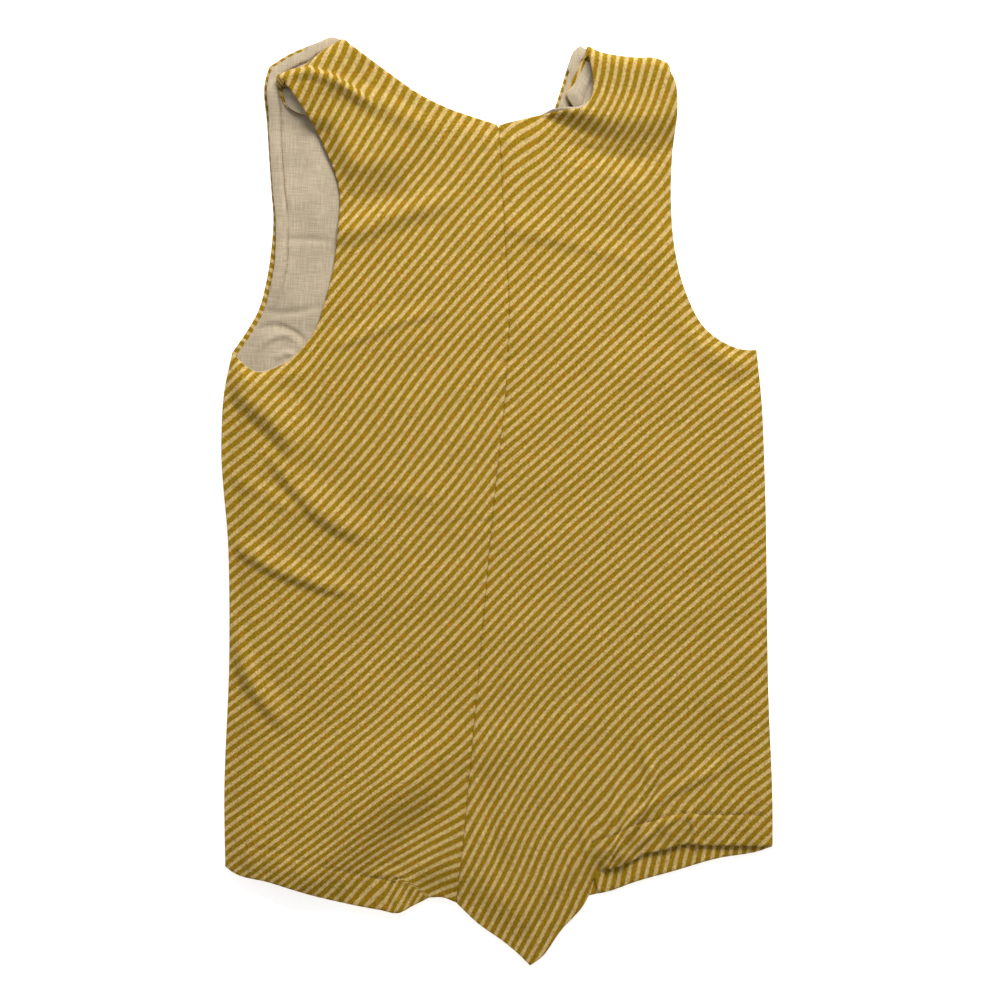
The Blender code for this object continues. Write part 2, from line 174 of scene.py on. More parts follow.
# crest is the line that a back strap turns over at, and end is the outline of
# its turned end where it lies. Both run from the neck to the armhole.
Strap = namedtuple("Strap", "side crest end")
STRAPS = [
    Strap(
        "left",
        [(-77, 230.5), (-87.5, 224), (-96.5, 216.8), (-104, 214.7), (-109, 212.5)],
        [(-77.5, 225.5), (-76.5, 214), (-78, 204), (-83, 197.5), (-98, 193), (-104.5, 196.5),
         (-108.5, 202.5), (-109.5, 206.5)],
    ),
    Strap(
        "right",
        [(45.4, 226.8), (51, 224.0), (59, 222.2), (70, 221), (79, 220.8), (84.6, 218.6)],
        [(43.5, 222.5), (40.3, 215.5), (36.5, 208.5), (34.5, 203), (37, 198), (50, 187.5), (58, 183.5),
         (65, 184.5), (71, 193), (79.5, 214.5)],
    ),
]

# Where the raised shoulder falls to the body: the middle of the slope, and
# half of its width at each point. strap_z is the height of the raised part,
# climb is the distance over which it rises from there to the crest, and droop
# is the share of the height that is lost at the armhole's edge.
Fall = namedtuple("Fall", "side path widths strap_z climb droop")
FALLS = [
    Fall("left", [(-100, 170), (-80, 164), (-64, 163), (-50, 166), (-38, 180), (-28, 204)],
         [8, 8, 8, 9, 12, 14], 9.4, 24, 0.85),
    Fall("right", [(16, 199), (30, 193.5), (43, 189), (61, 184.5), (78, 184), (96, 187)],
         [4, 5, 6, 9, 10, 13], 11.6, 16, 0.0),
]

DROOP_WIDTH = 13.0
DROOP_START = -21.0  # from the crest, so that the edge clears the strap end under it
DROOP_BLEND = 10.0

# ---- folds
# A ridge along a path, or a trough where rise is below zero. left and right
# are how far it reaches on each side for someone who walks the path, and
# tuck is the cloth lost under it, which shifts the stripes across it. slip is
# how far the cloth on the left has moved along the path.
Fold = namedtuple("Fold", "name path left right rise tuck slip", defaults=[0.0, 0.0])
BACK_FOLDS = [
    Fold(
        "shoulder pleat, edge",
        [(-112, 210), (-101, 214.6), (-95, 215), (-88.5, 213.8), (-83, 212), (-76, 208), (-68, 202.5),
         (-56, 195)],
        1.6, 6, 2.3, 1.0, 2.3,
    ),
    Fold("shoulder pleat, ridge", [(-100, 212), (-80, 208), (-60, 199.5), (-44, 191.5), (-24, 183)],
         7, 9, 1.6),
    Fold("blade trough, left", [(-88, 149), (-66, 150), (-40, 156)], 8, 9, -1.6),
    Fold("blade ridge, left", [(-96, 131.5), (-70, 136), (-53, 142), (-34, 148), (-14, 152)],
         9, 9.5, 2.7, 0.6),
    Fold("fold under the blade", [(-92, 74), (-76, 79), (-62, 84), (-44, 90.5), (-16, 97)],
         9, 3.4, 1.3, 0.4),
    Fold("armhole edge, left", [(-138, 71), (-124, 61.5), (-112, 62), (-92, 70)], 4, 9, 1.7),
    Fold("armpit crease, upper", [(-144, 67), (-131, 57.5), (-121, 48), (-110, 38), (-101, 26), (-94, 12)],
         18, 9, 3.9, 1.5),
    Fold("armpit crease, lower", [(-116, 30), (-107, 15), (-97, 2.5), (-86, -8), (-73, -15), (-54, -18)],
         15, 7, 3.1, 1.3),
    Fold("flank ridge", [(-142, 17), (-122, 7), (-104, -3), (-88, -11)], 6, 7, 1.0),
    Fold("waist ridge", [(-144, -14), (-126, -25.5), (-112, -33.5), (-98.5, -38.5), (-80, -44), (-60, -47)],
         10, 5, 2.5, 1.0),
    Fold("hip nick", [(-146, -44), (-133, -70), (-125, -87), (-115, -102), (-100, -119)], 10, 6, 3.1, 0.6),
    Fold("leg slope", [(-126, -214), (-98, -188), (-78, -168), (-62, -152), (-46, -136), (-18, -108)],
         60, 25, 6.8),
    Fold("leg hollow", [(-66, -220), (-52, -194), (-37, -170), (-22, -146)], 14, 9, -1.5),
    Fold("leg crease", [(-72, -190), (-60, -186.5), (-50, -187.5), (-38, -194)], 5, 2.6, 0.5, 0.6),
    Fold("small waves, left", [(-62, 7), (-44, 3.5), (-26, 1)], 6, 5, 0.5),
    Fold("pressed line", [(-64, -14), (0, -10.8), (46, -10), (90, -1), (140, 8)], 2.6, 2.6, -0.3),
    Fold("foot of the strap, right", [(26, 181), (50, 174), (66, 171), (90, 173)], 6, 10, -1.3),
    Fold("blade ridge, right", [(48, 168), (68, 157), (77, 138), (80, 110)], 11, 13, 1.1),
    Fold("neck ridge, right", [(-8, 138), (12, 135), (34, 130), (60, 123), (84, 114)], 11, 6, 1.0, 0.2),
    Fold("armhole edge, right", [(90, 100), (103, 81), (114, 73), (136, 68)], 3, 13, 1.3),
    Fold("armpit crease, right", [(142, 70), (120, 58), (102, 49)], 4, 4, -0.7),
    Fold("seam pucker", [(-4, 73), (4, 69.5), (13, 76)], 3, 3, -0.9),
    Fold("crotch trough", [(-9, -126), (-4, -158), (2, -196)], 8, 6, -1.5),
    Fold("crotch ridge, first", [(46, -206), (53, -186), (57.5, -168), (61, -150), (64, -134)],
         5, 5, 2.4, 3.0),
    Fold("crotch ridge, second", [(54, -196), (65, -167), (73, -151), (77, -137), (73.5, -124), (68, -110)],
         5, 5, 1.9, 2.6),
    Fold("crotch ridge, third", [(66, -166), (84, -147), (97, -140), (112, -132.5), (126, -122)],
         6, 5, 1.3, 1.4),
    Fold("crotch wrinkle, inner", [(46, -200), (45, -176), (40, -150)], 3.4, 3.4, 1.0, 1.8),
    Fold("crotch wrinkle, middle", [(54, -184), (68, -158), (82, -147)], 2.8, 2.8, 0.9, 1.6),
    Fold("crotch wrinkle, outer", [(54, -190), (68, -174), (82, -162), (100, -156)], 3.4, 3.4, 1.1, 1.8),
    Fold("hem tuck", [(99, -178), (98.5, -164), (94, -150)], 2.6, 4, 1.5, 1.6),
    Fold("crotch point hollow", [(8, -230), (24, -206), (40, -186)], 7, 7, -1.2),
    Fold("right leg hollow", [(98, -94), (108, -124), (117, -154)], 12, 12, -1.0),
    Fold("flank line, right", [(110, -24), (108, -80), (112, -130)], 5, 5, -0.4),
]
LINING_FOLDS = [
    Fold("slope under the strap", [(-124, 204), (-104, 204), (-80, 204)], 8, 22, 2.4),
    Fold("strap crease", [(-114, 130), (-97, 131), (-76, 129)], 3, 3, -0.6),
    Fold("armhole crease, upper", [(-120, 95), (-104, 94), (-84, 98)], 3.5, 3, -0.8),
    Fold("armhole crease, lower", [(-124, 84), (-112, 88), (-98, 82), (-92, 74)], 2.5, 4, -1.0),
    Fold("armhole ridge", [(-121, 74), (-114, 81), (-104, 83), (-98, 78)], 3, 3, 1.1),
    Fold("armhole ridge, inner", [(-112, 70), (-106, 74), (-99, 72)], 2.5, 2.5, 0.9),
    Fold("long crease", [(-92, 160), (-89, 130), (-90, 104)], 4, 5, 0.35),
]
STRAP_LINING_FOLDS = [
    Fold("strap end groove", [(49, 213), (45.5, 206), (43.8, 200), (43, 193)], 1.5, 1.5, 1.5),
]

FOLD_REACH = 3  # widths of a fold, over which its tuck shifts the stripes
FOLD_ENDS = (3.5, 3.0)  # a fold fades in and out over one part in so many of its length

# Low waves that any laid cloth has.
WAVES = 14
WAVE_LENGTHS = (22.0, 75.0)
WAVE_RISE = 0.30
BACK_SEED = 5  # for the waves of each cloth
LINING_SEED = 9
STRAP_SEED = 21
HEM_PUCKER = 0.4
HEM_PUCKER_LENGTH = 14.0
HEM_PUCKER_REACH = 16.0
HEM_DROOP = 0.85  # how far a hem's edge hangs down
HEM_DROOP_WIDTH = 10.0
STITCH_DIP = 0.6
STITCH_DIP_WIDTH = 1.5
SEAM_PUCKER = 0.14
SEAM_PUCKER_LENGTH = 7.5
SEAM_PUCKER_WIDTH = 7.0

# ---- stripes
# How the stripes run at each height of a half: their angle above +x at the
# outer edge, in the middle and at the inner edge, and their pitch. pinch is
# how much narrower they are in the middle.
Level = namedtuple("Level", "y outer middle inner outer_pitch inner_pitch pinch", defaults=[0.0])
STRIPE_LEVELS = {
    "left": [
        Level(222, 76, 76, 74, 4.6, 4.6),
        Level(208, 68, 62, 63, 4.6, 4.8),
        Level(194, 63, 60, 58, 4.6, 4.7),
        Level(178, 61, 52, 52, 4.5, 4.6),
        Level(160, 54, 48, 51, 4.2, 4.4),
        Level(140, 49, 52, 48, 4.1, 4.3),
        Level(120, 51, 49, 47, 4.2, 4.1),
        Level(100, 50, 49, 46, 4.1, 4.0),
        Level(80, 53, 49, 48, 3.9, 4.1),
        Level(60, 45, 52, 52, 4.3, 4.1),
        Level(40, 38, 52, 54, 4.7, 4.1),
        Level(20, 38, 48, 53, 4.6, 4.1),
        Level(0, 42, 47, 51, 4.6, 4.0),
        Level(-20, 40, 46, 50, 4.4, 4.0),
        Level(-40, 40, 45, 50, 4.3, 3.9),
        Level(-60, 40, 43, 47, 4.3, 3.95),
        Level(-80, 41, 42, 45, 4.3, 4.0),
        Level(-100, 36, 40, 44, 4.15, 4.0),
        Level(-130, 36, 39, 40, 4.15, 4.0),
        Level(-160, 36, 38, 30, 4.0, 4.3, 0.4),
        Level(-182, 38, 38, 19, 3.9, 4.5, 0.9),
    ],
    "right": [
        Level(216, 70, 80, 84, 4.1, 3.9),
        Level(204, 67, 72, 74, 4.1, 3.8),
        Level(194, 62, 60, 56, 4.1, 3.9),
        Level(180, 52, 45, 49, 4.1, 4.7),
        Level(160, 49, 43, 45, 4.2, 4.7),
        Level(140, 49, 44, 46, 4.4, 4.4),
        Level(120, 44, 46, 47, 4.4, 4.4),
        Level(100, 42, 44, 45, 4.5, 4.3),
        Level(80, 38, 43, 45, 4.2, 4.2),
        Level(60, 39, 41, 42, 4.0, 4.1),
        Level(20, 39, 42, 41, 4.0, 4.0),
        Level(-20, 39, 42, 43, 3.95, 3.9),
        Level(-60, 41, 43, 47, 4.05, 3.9),
        Level(-100, 41, 45, 50, 4.2, 4.0),
        Level(-120, 38, 49, 54, 4.15, 4.0),
        Level(-140, 36, 51, 57, 4.2, 4.1),
        Level(-158, 43, 50, 60, 4.3, 4.1),
        Level(-180, 50, 68, 62, 3.9, 4.1),
        Level(-200, 68, 61, 62, 4.2, 4.1),
        Level(-222, 61, 61, 61, 4.1, 4.1),
    ],
}
STRIPE_CELL = 14.0  # the stripes' map is a smooth surface over cells this wide
STRIPE_STIFFNESS = 0.004  # how much that surface resists bending
STRIPE_SHARES = (0.04, 0.27, 0.5, 0.73, 0.96)  # where it is fitted, across the half

# Below this line in the left leg the stripes bend down to the hem. Right of
# its break it is a sharp crease, which hides some of the cloth.
LEG_BEND = [(-114, -212), (-98, -194), (-82, -186), (-66, -184.5), (-52, -187.5), (-43, -191), (-33, -199)]
LEG_BEND_LEAD = 24.0  # over which the bend gets to its full strength
LEG_BEND_STRIPES = 0.07  # that the bend takes from each millimetre down
LEG_BEND_SOFTNESS = 3.0
LEG_CREASE_SOFTNESS = 0.3
LEG_BEND_TOP = -178.0
LEG_BREAK_X = -55.0
LEG_BREAK_LEAD = 14.0
LEG_BREAK_STRIPES = 0.10  # that the crease hides in each millimetre along it

# The front and its hems are seen only at their edges, so one angle serves each.
Run = namedtuple("Run", "angle pitch")
FRONT_RUN = Run(-32.0, 4.1)
FRONT_HEM_RUN = Run(77.0, 4.3)

# ---- colours
# Linear red, green and blue.
CREAM = (0.540, 0.380, 0.140)
CREAM_DEEP = (0.50, 0.335, 0.130)
MUSTARD = (0.265, 0.150, 0.003)
MUSTARD_ORANGE = (0.345, 0.148, 0.003)
MUSTARD_OLIVE = (0.215, 0.153, 0.003)
MUSLIN = (0.475, 0.395, 0.280)
MUSLIN_DEEP = (0.36, 0.292, 0.198)
STEEL = (0.62, 0.60, 0.56)
FLOOR_COLOUR = (0.95, 0.95, 0.95)
FLOOR_GLOW = 0.66  # the floor is lit from below too, like a light table


# ---- flat lines
def smooth(amount):
    """0 to 1 with soft ends."""
    amount = np.clip(amount, 0.0, 1.0)
    return amount * amount * (3.0 - 2.0 * amount)


def curve_through(points, step=EDGE_STEP):
    """A smooth line through the points, with a point every step or so."""
    p = np.array(points, float)
    run = runs_of(p[:, :2])
    slope = np.gradient(p, run, axis=0)
    count = max(2, int(round(run[-1] / step)) + 1)
    at = np.linspace(0.0, run[-1], count)
    i = np.clip(np.searchsorted(run, at, side="right") - 1, 0, len(p) - 2)
    span = (run[i + 1] - run[i])[:, None]
    u = (at - run[i])[:, None] / span
    start = (1 + 2 * u) * (1 - u) ** 2 * p[i] + u * (1 - u) ** 2 * span * slope[i]
    end = u**2 * (3 - 2 * u) * p[i + 1] + u**2 * (u - 1) * span * slope[i + 1]
    return start + end


def edge(name, step=EDGE_STEP):
    return curve_through(EDGES[name], step)


def join(*lines):
    """One closed outline from lines that follow each other."""
    return np.vstack([line[:-1] for line in lines])


def closed(loop):
    return np.vstack([loop, loop[:1]])


def runs_of(line):
    """How far along a line each of its points is."""
    return np.concatenate([[0.0], np.cumsum(np.hypot(*np.diff(line, axis=0).T))])


def length_of(line):
    return np.hypot(*np.diff(line, axis=0).T).sum()


def along_table(line, table):
    """A value for each point of a line, from a table by the share of its length."""
    return np.interp(runs_of(line) / length_of(line), *zip(*table))


def nearest(points, others):
    """For each point, the index of the nearest of the others and how far it is."""
    tree = kdtree.KDTree(len(others))
    for i, (x, y) in enumerate(others.tolist()):
        tree.insert((x, y, 0.0), i)
    tree.balance()
    found = [tree.find((x, y, 0.0)) for x, y in points.tolist()]
    return np.array([f[1] for f in found]), np.array([f[2] for f in found])


def measure(points, line):
    """Where each point is along a line and beside it: the distance, positive
    to the left, the share of the line's length, and the nearest place on it."""
    i, _ = nearest(points, line)
    first = np.clip([i - 1, i], 0, len(line) - 2)
    a, along = line[first], line[first + 1] - line[first]
    u = np.clip(((points - a) * along).sum(-1) / (along**2).sum(-1), 0.0, 1.0)
    place = a + u[..., None] * along
    off = points - place
    gap = np.hypot(off[..., 0], off[..., 1])
    turn = along[..., 0] * off[..., 1] - along[..., 1] * off[..., 0]
    run = runs_of(line)
    share = (run[first] + u * (run[first + 1] - run[first])) / run[-1]
    closer = (gap.argmin(0), np.arange(len(points)))
    return np.where(turn >= 0, gap, -gap)[closer], share[closer], place[closer]


def distance_to(points, line):
    return np.abs(measure(points, line)[0])


def is_inside(points, loop):
    """Which points lie inside a closed outline."""
    inside = np.zeros(len(points), bool)
    for a, b in zip(loop, np.roll(loop, -1, axis=0)):
        if a[1] == b[1]:
            continue
        crosses = (a[1] > points[:, 1]) != (b[1] > points[:, 1])
        at = a[0] + (points[:, 1] - a[1]) / (b[1] - a[1]) * (b[0] - a[0])
        inside ^= crosses & (points[:, 0] < at)
    return inside


def normals_2d(line, is_loop=False):
    """Unit normals to the left of a line's direction."""
    if is_loop:
        ahead = np.roll(line, -1, axis=0) - np.roll(line, 1, axis=0)
    else:
        ahead = np.gradient(line, axis=0)
    ahead = ahead / np.linalg.norm(ahead, axis=1)[:, None]
    return np.column_stack([-ahead[:, 1], ahead[:, 0]])


def area_of(loop):
    following = np.roll(loop, -1, axis=0)
    return 0.5 * np.sum(loop[:, 0] * following[:, 1] - following[:, 0] * loop[:, 1])


def inset(loop, amount):
    """A closed outline moved inwards, by a distance or by one for each point."""
    inward = normals_2d(loop, True) * math.copysign(1.0, area_of(loop))
    moved = loop + inward * np.broadcast_to(amount, len(loop))[:, None]
    clear = distance_to(moved, closed(loop)) > 0.9 * np.broadcast_to(amount, len(loop)) - 0.01
    return moved[clear]


def above(loop, height):
    """The part of a closed outline that is above a level line."""
    kept = []
    for a, b in zip(loop, np.roll(loop, -1, axis=0)):
        if a[1] >= height:
            kept.append(a)
        if (a[1] >= height) != (b[1] >= height):
            kept.append(a + (b - a) * (height - a[1]) / (b[1] - a[1]))
    return np.array(kept)


# ---- shoulders
class Turn:
    """Turns a strap over at its shoulder, like a belt round a thin rod."""

    def __init__(self, strap):
        crest = curve_through(strap.crest)
        self.along = crest[-1] - crest[0]
        self.length = np.linalg.norm(self.along)
        self.along /= self.length
        self.out = np.array([-self.along[1], self.along[0]])
        if self.out[1] < 0:
            self.out = -self.out
        self.start = crest[0] - self.out * ROLL_RADIUS
        self.crest_at = (crest - crest[0]) @ self.along
        self.crest_out = (crest - crest[0]) @ self.out
        self.half_turn = math.pi * ROLL_RADIUS
        self.end = curve_through(strap.end)

    def past(self, points):
        """How far each pattern point is past the line where the turn starts."""
        from_start = points - self.start
        bow = np.interp(from_start @ self.along, self.crest_at, self.crest_out)
        return from_start @ self.out - bow

    def unfold(self, points):
        """Pattern points of the turned end, from where they lie."""
        return points + self.out * (self.half_turn - 2 * self.past(points))[:, None]

    def place(self, points, heights, folds):
        """Where pattern points lie, given the height of those before the turn
        and the folds, which fade out round the turn."""
        past = self.past(points)
        angle = np.clip(past / ROLL_RADIUS, 0.0, math.pi)
        travel = ROLL_RADIUS * np.sin(angle) - np.clip(past, 0.0, None)
        travel -= np.clip(past - self.half_turn, 0.0, None)
        turned = SHOULDER_Z - ROLL_RADIUS * (1 - np.cos(angle))
        z = np.where(past > 0, turned, heights) + folds * (1 - smooth(past / self.half_turn))
        return np.column_stack([points + self.out * travel[:, None], z])


TURNS = {strap.side: Turn(strap) for strap in STRAPS}


def raise_shoulder(points, z, fall):
    """The body's height, raised where the shoulder and the strap end under it
    lift the cloth."""
    path = curve_through([(*p, w) for p, w in zip(fall.path, fall.widths)], 2.0)
    side, share, _ = measure(points, path[:, :2])
    width = np.interp(share, runs_of(path[:, :2]) / length_of(path[:, :2]), path[:, 2])
    weight = smooth((side + width) / (2 * width))
    to_edge = distance_to(points, edge("armhole_" + fall.side))
    past = TURNS[fall.side].past(points)
    droop = (1 - smooth(to_edge / DROOP_WIDTH)) * smooth((DROOP_START - past) / DROOP_BLEND)
    weight *= 1 - fall.droop * droop
    climb = smooth((past + fall.climb) / fall.climb)
    top = fall.strap_z + (SHOULDER_Z - fall.strap_z) * climb
    return z + (top - z) * np.maximum(weight, climb)


# ---- relief
def fold_parts(points, fold):
    """How strongly a fold lifts each point, and how far its tuck has shifted
    the cloth there."""
    path = curve_through(fold.path, 2.0)
    reach = FOLD_REACH * max(fold.left, fold.right)
    near = ((points > path.min(0) - reach) & (points < path.max(0) + reach)).all(1)
    lift, shift = np.zeros(len(points)), np.zeros(points.shape)
    if not near.any():
        return lift, shift
    side, share, place = measure(points[near], path)
    width = np.where(side > 0, fold.left, fold.right)
    fade = smooth(share * FOLD_ENDS[0]) * smooth((1 - share) * FOLD_ENDS[1])
    lift[near] = fold.rise * (1 - smooth(np.abs(side) / width)) * fade
    across = points[near] - place
    across /= np.maximum(np.hypot(*across.T), 1e-6)[:, None]
    pulled = smooth(np.abs(side) / min(fold.left, fold.right)) * (1 - smooth(np.abs(side) / reach))
    shift[near] = across * (fold.tuck / 2 * pulled * fade)[:, None]
    onward = np.array(fold.path[-1]) - np.array(fold.path[0])
    moved = fold.slip * smooth(side / fold.left) * (1 - smooth(side / reach)) * fade
    shift[near] += np.outer(moved, onward / np.hypot(*onward))
    return lift, shift


def folds_at(points, folds):
    parts = [fold_parts(points, fold) for fold in folds]
    return sum(lift for lift, _ in parts), sum(shift for _, shift in parts)


def waves(points, seed):
    """The low, uneven waves of cloth that has been laid down by hand."""
    draw = np.random.default_rng(seed)
    total = np.zeros(len(points))
    for _ in range(WAVES):
        heading, phase = draw.uniform(0, 2 * math.pi, 2)
        length = draw.uniform(*WAVE_LENGTHS)
        along = points @ np.array([math.cos(heading), math.sin(heading)])
        total += np.sin(along * 2 * math.pi / length + phase)
    return total * WAVE_RISE / math.sqrt(WAVES)


def back_height(points):
    """Height of the middle of the back's cloth, without its folds, and how far
    each point is inside the stitched edges: 1 where the cloth has risen."""
    inwards = np.min([distance_to(points, edge(name)) / width for name, width in STITCHED.items()], axis=0)
    to_edge = np.min([distance_to(points, edge(name)) for name in OPEN], axis=0)
    full = BACK_Z - EDGE_DROP * (1.0 - smooth(to_edge / EDGE_ROUNDING))
    z = INNER_Z + (full - INNER_Z) * smooth(inwards)
    for fall in FALLS:
        z = raise_shoulder(points, z, fall)
    return z, inwards


def beat(run, length, drift, drift_length, phase=0.0):
    """An uneven wave along a line, as stitches pull it."""
    return np.sin(run * 2 * math.pi / length + drift * np.sin(run / drift_length) + phase)


def seam_relief(points):
    """The groove of the centre seam, the allowances pressed under it and the
    small puckers that its stitching pulls."""
    side, share, _ = measure(points, edge("centre_back"))
    gap = np.abs(side)
    groove = -SEAM_DIP * (1 - smooth(gap / SEAM_DIP_WIDTH)) ** 2
    allowance = ALLOWANCE_RISE * (1 - smooth((gap - ALLOWANCE_WIDTH) / ALLOWANCE_EDGE))
    run = share * length_of(edge("centre_back"))
    pucker = SEAM_PUCKER * beat(run, SEAM_PUCKER_LENGTH, 1.7, 23, np.sign(side))
    return groove + allowance + pucker * (1 - smooth(gap / SEAM_PUCKER_WIDTH)) * smooth(gap / 1.5)


def hem_relief(points, side):
    """The soft puckers above a stitched hem and the dip along its stitches."""
    line = edge("hem_" + side)
    gap, share, _ = measure(points, line)
    run = share * length_of(line)
    inside = np.abs(gap)
    pucker = HEM_PUCKER * beat(run, HEM_PUCKER_LENGTH, 2.1, 17)
    pucker *= smooth(inside / 5) * (1 - smooth((inside - 6) / HEM_PUCKER_REACH))
    stitch = -STITCH_DIP * (1 - smooth(np.abs(inside - STITCH_INSET) / STITCH_DIP_WIDTH))
    ends = smooth((run - HEM_END) / HEM_END) * smooth((length_of(line) - HEM_END - run) / HEM_END)
    return (pucker + stitch - HEM_DROOP * (1 - smooth(inside / HEM_DROOP_WIDTH))) * ends


def kept_above(z, lowest):
    """The height, with its lowest parts held up softly by what is under them."""
    spare = z - lowest
    return lowest + (spare + np.sqrt(spare**2 + SUPPORT_SOFTNESS)) / 2


def place_back(side):
    def place(points):
        base, inwards = back_height(points)
        lift, _ = folds_at(points, BACK_FOLDS)
        lift = (lift + waves(points, BACK_SEED)) * smooth(FOLDS_START * inwards)
        lift += seam_relief(points) + hem_relief(points, side)
        lowest = LOWEST_SEAM + (LOWEST_BACK - LOWEST_SEAM) * smooth(inwards)
        lift = kept_above(base + lift, lowest) - base
        return TURNS[side].place(points, base, lift)

    return place


def place_flat(height, relief=lambda points: 0.0):
    return lambda points: np.column_stack([points, np.full(len(points), height) + relief(points)])


# ---- stripes
class StripeMap:
    """A smooth count of stripes over a panel, fitted to how they run."""

    def __init__(self, levels, outline):
        low, high = outline.min(0), outline.max(0)
        self.origin = low - 3 * STRIPE_CELL
        self.shape = np.ceil((high - self.origin) / STRIPE_CELL).astype(int) + 4
        places, slopes = [], []
        for level in levels:
            left, right = span_at(outline, level.y)
            outer, inner = (left, right) if abs(left) > abs(right) else (right, left)
            for share in STRIPE_SHARES:
                angle = np.interp(share, STRIPE_SHARES[::2], (level.outer, level.middle, level.inner))
                pitch = level.outer_pitch + share * (level.inner_pitch - level.outer_pitch)
                pitch -= level.pinch * (1 - abs(2 * share - 1))
                places.append((outer + share * (inner - outer), level.y))
                slopes.append(gradient_of(angle, pitch))
        places, slopes = np.array(places), np.array(slopes)
        bend = self.bending() * STRIPE_STIFFNESS
        rows = np.vstack([self.rows(places, 1, 0), self.rows(places, 0, 1), bend])
        wanted = np.concatenate([slopes[:, 0], slopes[:, 1], np.zeros(len(bend))])
        self.heights = np.linalg.lstsq(rows, wanted, rcond=None)[0]

    def weights(self, at, order):
        """The four cubic weights of each coordinate, or of their slope."""
        cell = np.floor(at).astype(int)
        u = at - cell
        if order == 0:
            parts = [(1 - u) ** 3, 3 * u**3 - 6 * u**2 + 4, -3 * u**3 + 3 * u**2 + 3 * u + 1, u**3]
        else:
            parts = [-3 * (1 - u) ** 2, 9 * u**2 - 12 * u, -9 * u**2 + 6 * u + 3, 3 * u**2]
        return cell, np.array(parts) / 6 / STRIPE_CELL**order

    def entries(self, points, order_x, order_y):
        """Each point's share in the sixteen heights round it."""
        at = (points - self.origin) / STRIPE_CELL
        cell_x, weight_x = self.weights(at[:, 0], order_x)
        cell_y, weight_y = self.weights(at[:, 1], order_y)
        for i in range(4):
            for j in range(4):
                yield (cell_x + i) * self.shape[1] + cell_y + j, weight_x[i] * weight_y[j]

    def rows(self, points, order_x, order_y):
        made = np.zeros((len(points), self.shape.prod()))
        for column, weight in self.entries(points, order_x, order_y):
            made[np.arange(len(points)), column] += weight
        return made

    def bending(self):
        """Rows that ask for a surface with as little bending as can be."""
        unit = np.eye(self.shape.prod()).reshape(*self.shape, -1)
        twist = math.sqrt(2) * np.diff(np.diff(unit, axis=0), axis=1)
        parts = [np.diff(unit, 2, axis=0), np.diff(unit, 2, axis=1), twist]
        return np.vstack([part.reshape(-1, unit.shape[-1]) for part in parts])

    def count(self, points):
        return sum(self.heights[column] * weight for column, weight in self.entries(points, 0, 0))


def gradient_of(angle, pitch):
    """How fast stripes are counted to the right and up."""
    a = math.radians(angle)
    return -math.sin(a) / pitch, math.cos(a) / pitch


def span_at(outline, y):
    """The lowest and highest x of an outline at a height."""
    a, b = outline, np.roll(outline, -1, axis=0)
    hit = (a[:, 1] > y) != (b[:, 1] > y)
    x = a[hit, 0] + (y - a[hit, 1]) / (b[hit, 1] - a[hit, 1]) * (b[hit, 0] - a[hit, 0])
    return x.min(), x.max()


def leg_bend(points):
    """How far the count of stripes is moved below the bend in the left leg."""
    line = curve_through(LEG_BEND, 1.0)
    side, _, _ = measure(points, line)
    past = points[:, 0] - LEG_BREAK_X
    soft = LEG_CREASE_SOFTNESS + LEG_BEND_SOFTNESS * (1 - smooth(past / LEG_BREAK_LEAD + 1))
    bent = LEG_BEND_STRIPES * (np.sqrt(side**2 + soft**2) - soft)
    hidden = LEG_BREAK_STRIPES * np.clip(past, 0, None) * smooth(-side / 0.8)
    share = smooth((points[:, 0] - line[0, 0]) / LEG_BEND_LEAD)
    is_below = (side < 0) & (points[:, 1] < LEG_BEND_TOP) & (points[:, 0] < line[-1, 0] + 1)
    return np.where(is_below, (bent - hidden) * share, 0.0)


def back_stripes(side):
    outline = back_outline(side)
    stripe_map = StripeMap(STRIPE_LEVELS[side], outline)

    def stripes(points):
        _, shift = folds_at(points, BACK_FOLDS)
        moved = points + shift
        count = stripe_map.count(moved)
        return count + leg_bend(moved) if side == "left" else count

    return stripes


def straight_stripes(run):
    return lambda points: points @ np.array(gradient_of(*run))


# ---- cloth
def grid_in(outline, step):
    """Points of a triangular grid inside an outline."""
    low, high = outline.min(0), outline.max(0)
    rows = []
    for j, y in enumerate(np.arange(low[1], high[1], step * math.sqrt(3) / 2)):
        x = np.arange(low[0] + (j % 2) * step / 2, high[0], step)
        rows.append(np.column_stack([x, np.full(len(x), y)]))
    grid = np.vstack(rows)
    return grid[is_inside(grid, outline)]


# Where the net is fine: the middle of the area and its radius.
Area = namedtuple("Area", "x y radius")
BACK_FINE = [
    Area(-88, 200, 46), Area(60, 200, 44), Area(70, -165, 46),
    Area(-45, -190, 20), Area(-108, 36, 28), Area(124, -160, 22),
]
LINING_FINE = [
    Area(-100, 210, 34), Area(-98, 165, 30), Area(-98, 120, 32), Area(-112, 84, 26), Area(38, 205, 26),
]


def is_fine(points, areas):
    return np.any([np.hypot(points[:, 0] - a.x, points[:, 1] - a.y) < a.radius for a in areas], axis=0)


RIM_DEPTHS = (0.22, 0.6, 1.2)  # rings of points just inside an outline
RING_GAP = 0.75  # between those and the rest of the net


